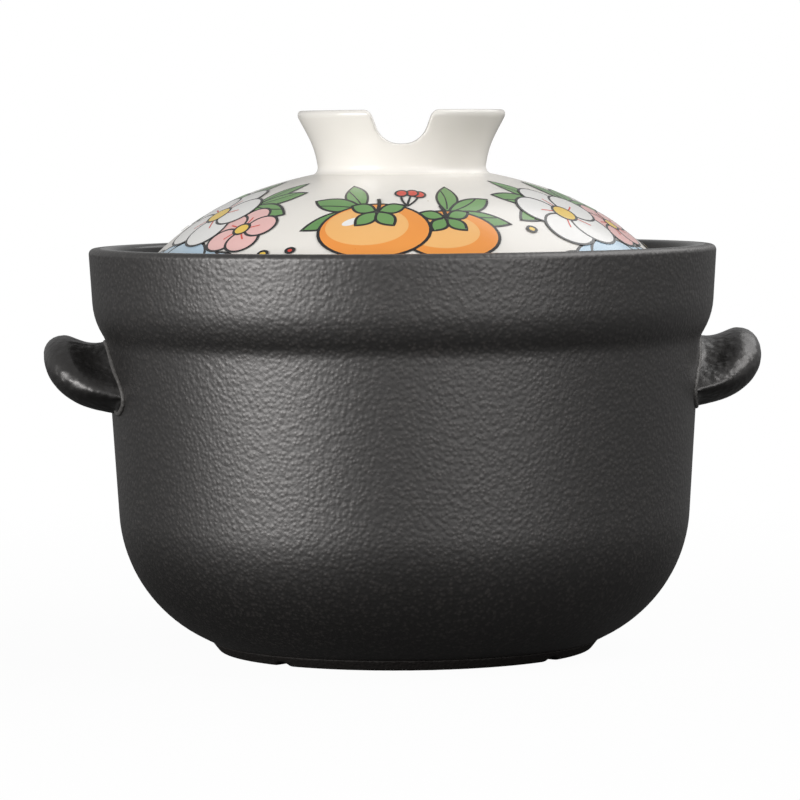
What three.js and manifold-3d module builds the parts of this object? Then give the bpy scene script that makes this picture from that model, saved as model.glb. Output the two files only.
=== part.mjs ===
// Ceramic stew pot: a collared clay pot on a notched foot ring, with two arched lug handles and a
// domed lid that sits on a ledge inside the collar. Millimetres, +Z up, handles on the X axis.
import * as THREE from 'three';
import { mergeVertices } from 'three/addons/utils/BufferGeometryUtils.js';
import Module from 'manifold-3d';

const wasm = await Module();
wasm.setup();

const degrees = THREE.MathUtils.degToRad;

// Pot body
const RIM_RADIUS = 112.5;
const RIM_HEIGHT = 145;
const RIM_EDGE_ROUND = 2;
const COLLAR_WALL = 8;
const COLLAR_INSIDE_TAPER = 2.5;
const COLLAR_DEPTH = 25.5;
const COLLAR_CURVE_RADIUS = 25;
const NECK_STEP = 4.6;
const NECK_DEPTH = 33.2;
const NECK_FILLET_RADIUS = 10;
const MOULD_DRAFT = degrees(3.5);
const BODY_WALL = 8.5;
const BELLY_RADIUS = 52;
const UNDERSIDE_SLOPE = degrees(27);
const FLOOR_THICKNESS = 8;
const FLOOR_CURVE_RADIUS = 35.5;

// Ledge that carries the lid
const LEDGE_DEPTH = 23;
const LEDGE_WIDTH = 7;
const LEDGE_THICKNESS = 7;
const LEDGE_ROUND = 1.5;

// Foot ring
const FOOT_RADIUS = 70;
const FOOT_HEIGHT = 4;
const FOOT_TAPER = 3.2;
const FOOT_WIDTH = 10;
const FOOT_ROUND = 1.2;
const NOTCH_COUNT = 4;
const NOTCH_BEARING = degrees(45);
const NOTCH_WIDTH = 6.5;
const NOTCH_DEPTH = 1.8;

// Handles
const HANDLE_STAND_OUT = 22.5;
const HANDLE_END_SINK = 1.3;
const HANDLE_ROOT_DEPTH = 7.4;
const HANDLE_SPAN = degrees(50);
const HANDLE_ARCH_WIDTH = 43;
const HANDLE_ARCH_RISE = 18.5;
const HANDLE_ABOVE_NECK = 0.7;
const HANDLE_WEB = 9;
const HANDLE_DIP = 1.6;
const HANDLE_END_ROUND = 2.4;
const LIP_LENGTH = 7;
const LIP_RISE = 1.8;
const LIP_END_RISE = 5;
const LIP_UNDER = 2.6;
const LIP_CLOSE = 0.72;
const SLIP_THICKNESS = 1.4;
const SLIP_BEAD = 1.3;

// Lid
const LID_CLEARANCE = 2;
const LID_EDGE_HEIGHT = 6.6;
const CROWN_RATIO = 1.6;
const SHOULDER_RATIO = 0.99;
const SHOULDER_START = degrees(18.2);
const LID_WALL = 6.5;
const LID_EDGE_ROUND = 1;
const FLANGE_CLEARANCE = 1.2;
const FLANGE_DEPTH = 6;
const FLANGE_WIDTH = 6;
const VENT_RADIUS = 3;
const LID_TURN = degrees(-5);

// Knob on the lid
const KNOB_BASE_RADIUS = 29.8;
const KNOB_WAIST_RADIUS = 31.2;
const KNOB_WAIST_RISE = 6.2;
const KNOB_LIP_RADIUS = 37.2;
const KNOB_LIP_DROP = 2.2;
const KNOB_HEIGHT = 19.6;
const KNOB_FLARE_RADIUS = 32;
const KNOB_WALL = 6.2;
const KNOB_LIP_ROUND = 1.1;
const SLOT_DEPTH = 12;
const SLOT_BOTTOM_WIDTH = 14;
const SLOT_TOP_WIDTH = 23;
const SLOT_BOTTOM_ROUND = 9;
const SLOT_EDGE_ROUND = 3.5;
const KNOB_SLIP_WIDTH = 3.2;
const KNOB_SLIP_HEIGHT = 3;

// Gap left at every joint between two pieces, and the fineness of the facets
const JOINT_GAP = 0.3;
const ROUND_SEGMENTS = 48;
const FACET_SAG = 0.15;
const HANDLE_STEPS = 16;
const CURVE_STEPS = 6;

const bodyClay = () => new THREE.MeshStandardMaterial({ color: 0x343231, roughness: 0.5, metalness: 0 });
const footClay = () => new THREE.MeshStandardMaterial({ color: 0x2d2826, roughness: 0.75, metalness: 0 });
const handleClay = () => new THREE.MeshStandardMaterial({ color: 0x2a2929, roughness: 0.35, metalness: 0 });
const slipClay = () => new THREE.MeshStandardMaterial({ color: 0x4b4846, roughness: 0.6, metalness: 0 });
const whiteGlaze = () => new THREE.MeshStandardMaterial({ color: 0xf3efe8, roughness: 0.12, metalness: 0 });

// Facets that an arc needs to stay within the sag of its true curve.
function arcSteps(radius, turn) {
  const largest = 2 * Math.acos(Math.max(0, 1 - FACET_SAG / radius));
  return Math.ceil(Math.abs(turn) / largest);
}

// Outline through the corners [x, y, fillet radius], with each fillet sampled as an arc.
function roundedOutline(corners) {
  const place = (index) => {
    const [x, y] = corners[(index + corners.length) % corners.length];
    return new THREE.Vector2(x, y);
  };
  return corners.flatMap(([, , radius = 0], index) => {
    const corner = place(index);
    if (radius === 0) return [corner];
    const back = place(index - 1).sub(corner).normalize();
    const ahead = place(index + 1).sub(corner).normalize();
    const halfAngle = Math.acos(back.dot(ahead)) / 2;
    const start = corner.clone().addScaledVector(back, radius / Math.tan(halfAngle));
    const toCentre = back.clone().add(ahead).normalize();
    const centre = corner.clone().addScaledVector(toCentre, radius / Math.sin(halfAngle));
    const turn = -Math.sign(back.cross(ahead)) * (Math.PI - 2 * halfAngle);
    const steps = arcSteps(radius, turn);
    return Array.from({ length: steps + 1 }, (_, step) =>
      start.clone().rotateAround(centre, (turn * step) / steps));
  });
}

// Where the line through a, rising by slopeA per unit of radius, meets the line through b.
function crossing(a, slopeA, b, slopeB) {
  const r = (b.y - a.y + slopeA * a.x - slopeB * b.x) / (slopeA - slopeB);
  return new THREE.Vector2(r, a.y + slopeA * (r - a.x));
}

// A closed geometry as a solid that can be joined and cut.
function toSolid(geometry) {
  const bare = geometry.clone();
  bare.deleteAttribute('normal');
  bare.deleteAttribute('uv');
  const merged = mergeVertices(bare, 1e-4);
  const corners = merged.index.array;
  const faces = [];
  for (let i = 0; i < corners.length; i += 3) {
    const [a, b, c] = corners.slice(i, i + 3);
    if (a !== b && b !== c && c !== a) faces.push(a, b, c);
  }
  const vertProperties = new Float32Array(merged.attributes.position.array);
  const triVerts = new Uint32Array(faces);
  return new wasm.Manifold(new wasm.Mesh({ numProp: 3, vertProperties, triVerts }));
}

function toMesh(name, solid, material) {
  const { vertProperties, triVerts } = solid.getMesh();
  const geometry = new THREE.BufferGeometry();
  geometry.setAttribute('position', new THREE.BufferAttribute(vertProperties, 3));
  geometry.setIndex(new THREE.BufferAttribute(triVerts, 1));
  geometry.computeVertexNormals();
  const mesh = new THREE.Mesh(geometry, material);
  mesh.name = name;
  return mesh;
}

// Turns an outline of (radius, height) points about the Z axis.
function turned(outline) {
  return toSolid(new THREE.LatheGeometry(outline, ROUND_SEGMENTS).rotateX(Math.PI / 2));
}

// Outside of the pot, from the flat base up to the rim, as fillet corners.
const draftSlope = 1 / Math.tan(MOULD_DRAFT);
const rimCorner = new THREE.Vector2(RIM_RADIUS, RIM_HEIGHT);
const collarCorner = new THREE.Vector2(
  RIM_RADIUS - COLLAR_DEPTH / draftSlope, RIM_HEIGHT - COLLAR_DEPTH);
const neckCorner = new THREE.Vector2(collarCorner.x - NECK_STEP, RIM_HEIGHT - NECK_DEPTH);
const baseCorner = new THREE.Vector2(FOOT_RADIUS, FOOT_HEIGHT);
const bellyCorner = crossing(neckCorner, draftSlope, baseCorner, Math.tan(UNDERSIDE_SLOPE));

function outsideCorners(grow) {
  return [
    [baseCorner.x + grow, baseCorner.y],
    [bellyCorner.x + grow, bellyCorner.y, BELLY_RADIUS],
    [neckCorner.x + grow, neckCorner.y, NECK_FILLET_RADIUS],
    [collarCorner.x + grow, collarCorner.y, COLLAR_CURVE_RADIUS],
    [rimCorner.x + grow, rimCorner.y, RIM_EDGE_ROUND],
  ];
}

const ledgeHeight = RIM_HEIGHT - LEDGE_DEPTH;
const ledgeOuter = RIM_RADIUS - COLLAR_WALL - COLLAR_INSIDE_TAPER;
const ledgeInner = ledgeOuter - LEDGE_WIDTH;

function potBody() {
  const wallInset = BODY_WALL / Math.cos(MOULD_DRAFT);
  const insideNeck = new THREE.Vector2(neckCorner.x - wallInset, neckCorner.y);
  const floor = FOOT_HEIGHT + FLOOR_THICKNESS;
  const floorEdge = crossing(insideNeck, draftSlope, new THREE.Vector2(0, floor), 0);
  const ledgeUnderside = ledgeHeight - LEDGE_THICKNESS;
  const underLedge = crossing(insideNeck, draftSlope, new THREE.Vector2(ledgeInner, ledgeUnderside), -1);
  return turned(roundedOutline([
    [0, FOOT_HEIGHT],
    ...outsideCorners(0),
    [RIM_RADIUS - COLLAR_WALL, RIM_HEIGHT, RIM_EDGE_ROUND],
    [ledgeOuter, ledgeHeight, LEDGE_ROUND],
    [ledgeInner, ledgeHeight, LEDGE_ROUND],
    [ledgeInner, ledgeUnderside, LEDGE_ROUND],
    [underLedge.x, underLedge.y],
    [floorEdge.x, floorEdge.y, FLOOR_CURVE_RADIUS],
    [0, floor],
  ]));
}

function footRing() {
  const top = FOOT_HEIGHT - JOINT_GAP;
  const ring = turned(closed(roundedOutline([
    [FOOT_RADIUS - FOOT_WIDTH, 0, FOOT_ROUND],
    [FOOT_RADIUS - FOOT_TAPER, 0, FOOT_ROUND],
    [FOOT_RADIUS, top],
    [FOOT_RADIUS - FOOT_WIDTH - FOOT_TAPER, top],
  ])));
  // Each notch is the top of a round bar that lies across the ring.
  const barRadius = (NOTCH_WIDTH ** 2 / 4 + NOTCH_DEPTH ** 2) / (2 * NOTCH_DEPTH);
  const barSides = arcSteps(barRadius, 2 * Math.PI);
  const bar = new THREE.CylinderGeometry(barRadius, barRadius, FOOT_RADIUS, barSides);
  bar.translate(0, FOOT_RADIUS, NOTCH_DEPTH - barRadius);
  const bearings = Array.from({ length: NOTCH_COUNT }, (_, index) =>
    NOTCH_BEARING + (index * 2 * Math.PI) / NOTCH_COUNT);
  return bearings.reduce((solid, bearing) => solid.subtract(toSolid(bar.clone().rotateZ(bearing))), ring);
}

function closed(outline) {
  return [...outline, outline[0].clone()];
}

// One radial section of a handle: a web with a hollowed top that ends in a rolled lip.
// x runs outwards from the root and y across the web. along is 0 at the top of the arch and 1 at its
// ends, where the lip stands higher and closes the hollow. grow thickens the section all round.
function handleSection(along, grow) {
  const length = HANDLE_ROOT_DEPTH + HANDLE_STAND_OUT;
  const half = HANDLE_WEB / 2 + grow;
  const rise = LIP_RISE + (LIP_END_RISE - LIP_RISE) * along ** 2;
  const ending = THREE.MathUtils.smoothstep(along, LIP_CLOSE, 1);
  const lipTop = half + rise;
  const lipBottom = -half - LIP_UNDER;
  const lipStart = length - LIP_LENGTH;
  const nose = length + LIP_LENGTH / 3;
  const hollow = half - 2 * HANDLE_DIP * (1 - ending) + rise * ending;
  const section = new THREE.Path();
  section.moveTo(0, -half);
  section.quadraticCurveTo(lipStart / 2, -half, lipStart, lipBottom);
  section.bezierCurveTo(nose, lipBottom, nose, lipTop, lipStart, lipTop);
  section.bezierCurveTo(lipStart - LIP_LENGTH / 2, lipTop, lipStart / 2, hollow, 0, half + rise * ending);
  return section.getPoints(CURVE_STEPS);
}

// Skin over a row of closed sections with equal point counts. The cap outline is the flat shape of
// the first and the last section.
function lofted(sections, capOutline) {
  const count = sections[0].length;
  const positions = sections.flat().flatMap((point) => point.toArray());
  const faces = [];
  for (let row = 0; row + 1 < sections.length; row += 1) {
    for (let i = 0; i < count; i += 1) {
      const next = (i + 1) % count;
      const [a, b] = [row * count + i, row * count + next];
      faces.push(a, b + count, b, a, a + count, b + count);
    }
  }
  const lastRow = (sections.length - 1) * count;
  for (const [a, b, c] of THREE.ShapeUtils.triangulateShape(capOutline, [])) {
    faces.push(a, b, c, lastRow + c, lastRow + b, lastRow + a);
  }
  const geometry = new THREE.BufferGeometry();
  geometry.setAttribute('position', new THREE.Float32BufferAttribute(positions, 3));
  geometry.setIndex(faces);
  return toSolid(geometry);
}

// Handle on the +X side: its sections stand along an arch, from the front end over the top to the back.
function handleArch(grow) {
  const root = neckCorner.x - HANDLE_ROOT_DEPTH;
  const crest = neckCorner.y + HANDLE_ABOVE_NECK - HANDLE_WEB / 2;
  const ellipseWidth = HANDLE_ARCH_WIDTH / 2 / Math.sin(HANDLE_SPAN);
  const ellipseHeight = HANDLE_ARCH_RISE / (1 - Math.cos(HANDLE_SPAN));
  const station = (along, beyond, shrink) => {
    const angle = along * HANDLE_SPAN;
    const fall = (ellipseHeight * (1 - Math.cos(angle))) / HANDLE_ARCH_RISE;
    const fullness = Math.sqrt(Math.max(0, 1 - fall ** 2));
    const standOut = (HANDLE_STAND_OUT + HANDLE_END_SINK) * fullness - HANDLE_END_SINK;
    const squeeze = (HANDLE_ROOT_DEPTH + standOut - shrink) / (HANDLE_ROOT_DEPTH + HANDLE_STAND_OUT);
    const across = new THREE.Vector2(Math.sin(angle) / ellipseWidth, Math.cos(angle) / ellipseHeight).normalize();
    const onward = Math.sign(along) * beyond;
    const y = ellipseWidth * Math.sin(angle) + across.y * onward;
    const z = crest - HANDLE_ARCH_RISE * fall - across.x * onward;
    return handleSection(Math.abs(along), grow - shrink).map((point) =>
      new THREE.Vector3(root + point.x * squeeze, y + across.x * point.y, z + across.y * point.y));
  };
  const endRound = HANDLE_END_ROUND + grow;
  const arch = Array.from({ length: HANDLE_STEPS + 1 }, (_, step) =>
    station(Math.sin(Math.PI * (step / HANDLE_STEPS - 1 / 2)), 0, 0));
  return lofted([
    station(-1, endRound, HANDLE_END_ROUND),
    station(-1, endRound * Math.SQRT1_2, HANDLE_END_ROUND * (1 - Math.SQRT1_2)),
    ...arch,
    station(1, endRound * Math.SQRT1_2, HANDLE_END_ROUND * (1 - Math.SQRT1_2)),
    station(1, endRound, HANDLE_END_ROUND),
  ], handleSection(1, grow - HANDLE_END_ROUND));
}

// The pot's outside, moved out by the given distance, as a full solid.
function potEnvelope(grow) {
  return turned(roundedOutline([[0, FOOT_HEIGHT], ...outsideCorners(grow), [0, RIM_HEIGHT]]));
}

function handlePieces(side, turn) {
  const slipOutside = JOINT_GAP + SLIP_THICKNESS;
  const handle = handleArch(0).subtract(potEnvelope(slipOutside + JOINT_GAP));
  const slip = handleArch(SLIP_BEAD).intersect(potEnvelope(slipOutside)).subtract(potEnvelope(JOINT_GAP));
  const group = new THREE.Group();
  group.add(toMesh(`${side}_handle`, handle, handleClay()));
  group.add(toMesh(`${side}_handle_slip`, slip, slipClay()));
  group.rotation.z = turn;
  return group;
}

// Dome: a crown arc about the axis that runs on into a tighter shoulder arc, which ends above the lid's seat.
const lidRadius = ledgeOuter - LID_CLEARANCE;
const lidSeat = ledgeHeight + JOINT_GAP;
const crownRadius = CROWN_RATIO * lidRadius;
const shoulderRadius = SHOULDER_RATIO * lidRadius;
const shoulderOffset = new THREE.Vector2(Math.sin(SHOULDER_START), Math.cos(SHOULDER_START))
  .multiplyScalar(crownRadius - shoulderRadius);
const edgeRise = shoulderOffset.y + Math.sqrt(shoulderRadius ** 2 - (lidRadius - shoulderOffset.x) ** 2);
const crownCentre = new THREE.Vector2(0, lidSeat + LID_EDGE_HEIGHT - edgeRise);
const shoulderCentre = crownCentre.clone().add(shoulderOffset);
const lidApex = crownCentre.y + crownRadius;
const knobWaistHeight = lidApex + KNOB_WAIST_RISE;
const knobTop = lidApex + KNOB_HEIGHT;

function arcDown(centre, radius, from, to) {
  const steps = arcSteps(radius, to - from);
  return Array.from({ length: steps + 1 }, (_, step) => {
    const angle = from + ((to - from) * step) / steps;
    return new THREE.Vector2(centre.x + radius * Math.sin(angle), centre.y + radius * Math.cos(angle));
  });
}

// Dome surface set in by the given depth, from one radius near the axis out to another.
function domeArc(depth, innerRadius, outerRadius) {
  const crown = crownRadius - depth;
  const shoulder = shoulderRadius - depth;
  const last = Math.asin((outerRadius - shoulderCentre.x) / shoulder);
  return [
    ...arcDown(crownCentre, crown, Math.asin(innerRadius / crown), SHOULDER_START),
    ...arcDown(shoulderCentre, shoulder, SHOULDER_START, last).slice(1),
  ];
}

function domeHeight(radius) {
  return crownCentre.y + Math.sqrt(crownRadius ** 2 - radius ** 2);
}

function lidDome() {
  const flangeOuter = ledgeInner - FLANGE_CLEARANCE;
  const flangeInner = flangeOuter - FLANGE_WIDTH;
  const outside = domeArc(0, VENT_RADIUS, lidRadius).reverse();
  const inside = domeArc(LID_WALL, VENT_RADIUS, flangeInner);
  const edge = roundedOutline([
    [flangeInner, inside.at(-1).y],
    [flangeInner, lidSeat - FLANGE_DEPTH, LID_EDGE_ROUND],
    [flangeOuter, lidSeat - FLANGE_DEPTH, LID_EDGE_ROUND],
    [flangeOuter, lidSeat],
    [lidRadius, lidSeat, LID_EDGE_ROUND],
    [lidRadius, outside[0].y],
  ]);
  return turned(closed([...inside.slice(0, -1), ...edge.slice(0, -1), ...outside]));
}

// Radius of the knob's outer wall at a height below its waist.
function knobOutside(height) {
  const base = domeHeight(KNOB_BASE_RADIUS);
  const share = (height - base) / (knobWaistHeight - base);
  return KNOB_BASE_RADIUS + (KNOB_WAIST_RADIUS - KNOB_BASE_RADIUS) * share;
}

function lidKnob() {
  const onDome = (radius) => [radius, domeHeight(radius) + JOINT_GAP];
  const lipHeight = knobTop - KNOB_LIP_DROP;
  const wall = turned(closed(roundedOutline([
    onDome(KNOB_BASE_RADIUS - KNOB_WALL),
    onDome(KNOB_BASE_RADIUS),
    [KNOB_WAIST_RADIUS, knobWaistHeight, KNOB_FLARE_RADIUS],
    [KNOB_LIP_RADIUS, lipHeight, KNOB_LIP_ROUND],
    [KNOB_LIP_RADIUS, knobTop, KNOB_LIP_ROUND],
    [KNOB_LIP_RADIUS - KNOB_WALL, knobTop, KNOB_LIP_ROUND],
    [KNOB_WAIST_RADIUS - KNOB_WALL, knobWaistHeight, KNOB_FLARE_RADIUS],
  ])));
  return wall.subtract(knobSlot());
}

// U-shaped slot that runs through the front and back of the knob, with its top edges eased outwards.
function knobSlot() {
  const bottom = knobTop - SLOT_DEPTH;
  const brim = knobTop + JOINT_GAP;
  const outline = roundedOutline([
    [-KNOB_LIP_RADIUS, brim],
    [-SLOT_TOP_WIDTH / 2, brim, SLOT_EDGE_ROUND],
    [-SLOT_BOTTOM_WIDTH / 2, bottom, SLOT_BOTTOM_ROUND],
    [SLOT_BOTTOM_WIDTH / 2, bottom, SLOT_BOTTOM_ROUND],
    [SLOT_TOP_WIDTH / 2, brim, SLOT_EDGE_ROUND],
    [KNOB_LIP_RADIUS, brim],
    [KNOB_LIP_RADIUS, brim + SLOT_DEPTH],
    [-KNOB_LIP_RADIUS, brim + SLOT_DEPTH],
  ]);
  const length = 2 * (KNOB_LIP_RADIUS + KNOB_WALL);
  const block = new THREE.ExtrudeGeometry(new THREE.Shape(outline), { depth: length, bevelEnabled: false });
  return toSolid(block.rotateX(Math.PI / 2).translate(0, length / 2, 0));
}

function knobSlip() {
  const seat = (radius) => domeHeight(radius) + JOINT_GAP;
  const foot = KNOB_BASE_RADIUS + 2 * JOINT_GAP;
  const top = seat(foot) + KNOB_SLIP_HEIGHT;
  const shoulder = knobOutside(top) + 2 * JOINT_GAP;
  return turned(closed(roundedOutline([
    [foot, seat(foot)],
    [foot + KNOB_SLIP_WIDTH, seat(foot + KNOB_SLIP_WIDTH)],
    [foot + JOINT_GAP + KNOB_SLIP_WIDTH / 3, seat(foot) + KNOB_SLIP_HEIGHT / 3, KNOB_SLIP_HEIGHT],
    [shoulder + JOINT_GAP, top],
    [shoulder, top],
  ])));
}

function lidPieces() {
  const group = new THREE.Group();
  group.add(toMesh('lid_dome', lidDome(), whiteGlaze()));
  group.add(toMesh('lid_knob', lidKnob(), whiteGlaze()));
  group.add(toMesh('knob_slip', knobSlip(), whiteGlaze()));
  group.rotation.z = LID_TURN;
  return group;
}

const pot = new THREE.Group();
pot.add(toMesh('pot_body', potBody(), bodyClay()));
pot.add(toMesh('foot_ring', footRing(), footClay()));
pot.add(handlePieces('right', 0));
pot.add(handlePieces('left', Math.PI));
pot.add(lidPieces());

export default pot;
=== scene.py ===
"""Looks of the ceramic stew pot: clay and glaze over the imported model, a painted lid, a studio."""

import logging
import math
from dataclasses import dataclass, field
from enum import Enum

import bmesh
import bpy
from mathutils import Matrix, Quaternion, Vector
from mathutils.bvhtree import BVHTree
from mathutils.geometry import interpolate_bezier


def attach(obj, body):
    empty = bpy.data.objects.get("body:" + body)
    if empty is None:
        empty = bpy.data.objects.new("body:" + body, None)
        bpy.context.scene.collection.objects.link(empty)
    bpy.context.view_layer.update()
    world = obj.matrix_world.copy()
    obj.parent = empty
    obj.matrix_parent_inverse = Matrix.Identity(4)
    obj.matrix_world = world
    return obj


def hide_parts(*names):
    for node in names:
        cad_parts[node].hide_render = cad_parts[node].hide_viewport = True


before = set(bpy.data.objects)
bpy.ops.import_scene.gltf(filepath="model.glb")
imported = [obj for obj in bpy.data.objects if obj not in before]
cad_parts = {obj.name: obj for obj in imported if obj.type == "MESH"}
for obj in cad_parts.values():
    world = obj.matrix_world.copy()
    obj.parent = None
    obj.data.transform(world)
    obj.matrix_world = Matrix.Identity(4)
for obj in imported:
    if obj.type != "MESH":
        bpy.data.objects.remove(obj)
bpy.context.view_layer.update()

log = logging.getLogger("stew_pot")

MM = 0.001

# How finely shapes are drawn, merged and eased
ROUND_STEPS = 192
LINE_STEP = 3 * MM
ARC_STEP = math.radians(6)
ARC_CHORD = 3 * MM
MERGE_DISTANCE = 0.002 * MM
NOTCH_SIDES = 48
DISC_SIDES = 40
STROKE_STEPS = 16
EASE_SHARE = 0.5
NEARLY_ZERO = 1e-6

# Places of the colour sockets on a mix node, which have no names of their own
MIX_LOW, MIX_HIGH, MIX_RESULT = 6, 7, 2

Colour = tuple[float, float, float]
Corner = tuple[float, float, float]
Pair = tuple[float, float]
Mesh = bmesh.types.BMesh
Material = bpy.types.Material
Node = bpy.types.Node
Piece = bpy.types.Object
Socket = bpy.types.NodeSocket


class Body(Enum):
    """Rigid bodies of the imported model."""

    POT = "pot"
    LID = "lid"


class Slot(Enum):
    """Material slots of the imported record."""

    BODY = "body_clay"
    FOOT = "foot_clay"
    HANDLE = "handle_clay"
    SLIP = "slip_clay"
    LID = "lid_glaze"
    KNOB = "knob_glaze"


class Paint(Enum):
    """Colours of the underglaze painting on the lid, in the order of its material slots."""

    INK = 0
    WHITE = 1
    ORANGE = 2
    YELLOW = 3
    RED = 4
    GREEN = 5
    BLUE = 6
    PINK = 7
    APRICOT = 8


@dataclass
class NodeSheet:
    """A node tree that is filled in by name."""

    tree: bpy.types.NodeTree

    def add(self, kind: str, settings: dict | None = None, **inputs: object) -> Node:
        """Places a node.

        Args:
            kind: Blender's type name of the node.
            settings: Properties to set on the node.
            inputs: Its inputs, as fill() takes them.

        Returns:
            The new node.
        """
        node = self.tree.nodes.new(kind)
        for name, value in (settings or {}).items():
            setattr(node, name, value)
        self.fill(node, **inputs)
        return node

    def fill(self, node: Node, **inputs: object) -> None:
        """Fills a node's inputs by name, with underscores for blanks, from sockets or values."""
        for name, value in inputs.items():
            self.feed(node.inputs[name.replace("_", " ")], value)

    def feed(self, socket: Socket, value: object) -> None:
        """Links a socket to another one, or sets its value.

        Args:
            socket: The input to fill.
            value: An output socket, a plain value, or a colour without its alpha.
        """
        if isinstance(value, Socket):
            self.tree.links.new(value, socket)
        else:
            socket.default_value = (*value, 1) if socket.type == "RGBA" else value

    def math(self, operation: str, first: object, second: object) -> Socket:
        """Places a math node.

        Args:
            operation: The math node's operation.
            first: First operand, a socket or a number.
            second: Second operand, a socket or a number.

        Returns:
            The node's output.
        """
        node = self.add("ShaderNodeMath", {"operation": operation})
        self.feed(node.inputs[0], first)
        self.feed(node.inputs[1], second)
        return node.outputs[0]

    def blend(self, share: Socket, low: Colour | Socket, high: Colour | Socket) -> Socket:
        """Mixes two linear colours.

        Args:
            share: The value that picks between them.
            low: Colour at 0.
            high: Colour at 1.

        Returns:
            The mixed colour.
        """
        node = self.add("ShaderNodeMix", {"data_type": "RGBA"}, Factor=share)
        self.feed(node.inputs[MIX_LOW], low)
        self.feed(node.inputs[MIX_HIGH], high)
        return node.outputs[MIX_RESULT]

    def span(self, value: Socket, result: Pair, source: Pair = (0.0, 1.0)) -> Socket:
        """Maps a value from a source range onto a result range, and holds it between its ends."""
        node = self.add(
            "ShaderNodeMapRange", Value=value, From_Min=source[0], From_Max=source[1],
            To_Min=result[0], To_Max=result[1])
        return node.outputs["Result"]


def new_group(name: str, inputs: dict[str, float], outputs: tuple[str, ...]) -> NodeSheet:
    """Starts a shader node group with number sockets.

    Args:
        name: The group's name.
        inputs: Input names and their defaults.
        outputs: Output names.

    Returns:
        A sheet over the group.
    """
    group = bpy.data.node_groups.new(name, "ShaderNodeTree")
    for label, value in inputs.items():
        socket = group.interface.new_socket(label, in_out="INPUT", socket_type="NodeSocketFloat")
        socket.default_value = value
    for label in outputs:
        group.interface.new_socket(label, in_out="OUTPUT", socket_type="NodeSocketFloat")
    return NodeSheet(group)


def clay_grain_group() -> bpy.types.NodeTree:
    """Builds the fired clay's dimpled grain.

    Returns:
        A group that puts out the height of the dimples and a slow change of tone.
    """
    pits_per_cell, least_pit, lump_lift, tones_per_metre = 1.4, 0.3, 0.35, 14.0
    sheet = new_group("clay_grain", {"Cells per metre": 500.0}, ("Height", "Tone"))
    cells = sheet.add("NodeGroupInput").outputs[0]
    place = sheet.add("ShaderNodeTexCoord").outputs["Object"]
    drift = sheet.add("ShaderNodeTexNoise", Vector=place, Scale=cells, Detail=1.0)
    lumps = sheet.add("ShaderNodeTexNoise", Vector=place, Scale=cells, Detail=1.6, Roughness=0.5)
    pits = sheet.add(
        "ShaderNodeTexVoronoi", {"feature": "SMOOTH_F1"}, Vector=place, Smoothness=0.8,
        Scale=sheet.math("MULTIPLY", cells, pits_per_cell))
    depth = sheet.math("ADD", drift.outputs["Fac"], least_pit)
    pitted = sheet.math("MULTIPLY", pits.outputs["Distance"], depth)
    height = sheet.math("SUBTRACT", sheet.math("ADD", lumps.outputs["Fac"], lump_lift), pitted)
    tone = sheet.add("ShaderNodeTexNoise", Vector=place, Scale=tones_per_metre, Detail=4.0)
    sheet.add("NodeGroupOutput", Height=height, Tone=tone.outputs["Fac"])
    return sheet.tree


def glaze_flow_group() -> bpy.types.NodeTree:
    """Builds the slow ripple and pooling of a fired glaze.

    Returns:
        A group that puts out the ripple's height, the pooling and fine specks.
    """
    pools_per_metre, specks_per_metre = 22.0, 260.0
    speck_radius, speck_rarity = 0.085, 0.93
    sheet = new_group(
        "glaze_flow", {"Ripples per metre": 40.0}, ("Height", "Pooling", "Specks"))
    ripples = sheet.add("NodeGroupInput").outputs[0]
    place = sheet.add("ShaderNodeTexCoord").outputs["Object"]
    ripple = sheet.add("ShaderNodeTexNoise", Vector=place, Scale=ripples, Detail=1.0)
    pooling = sheet.add("ShaderNodeTexNoise", Vector=place, Scale=pools_per_metre, Detail=3.0)
    cells = sheet.add("ShaderNodeTexVoronoi", Vector=place, Scale=specks_per_metre)
    near = sheet.math("LESS_THAN", cells.outputs["Distance"], speck_radius)
    chance = sheet.add("ShaderNodeSeparateColor", Color=cells.outputs["Color"])
    rare = sheet.math("GREATER_THAN", chance.outputs["Red"], speck_rarity)
    sheet.add(
        "NodeGroupOutput", Height=ripple.outputs["Fac"], Pooling=pooling.outputs["Fac"],
        Specks=sheet.math("MULTIPLY", near, rare))
    return sheet.tree


def new_material(name: str) -> tuple[Material, NodeSheet, Node]:
    """Starts a node material.

    Args:
        name: The material's name.

    Returns:
        The material, a sheet over its tree and its surface shader.
    """
    made = bpy.data.materials.new(name)
    made.use_nodes = True
    sheet = NodeSheet(made.node_tree)
    return made, sheet, made.node_tree.nodes["Principled BSDF"]


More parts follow.
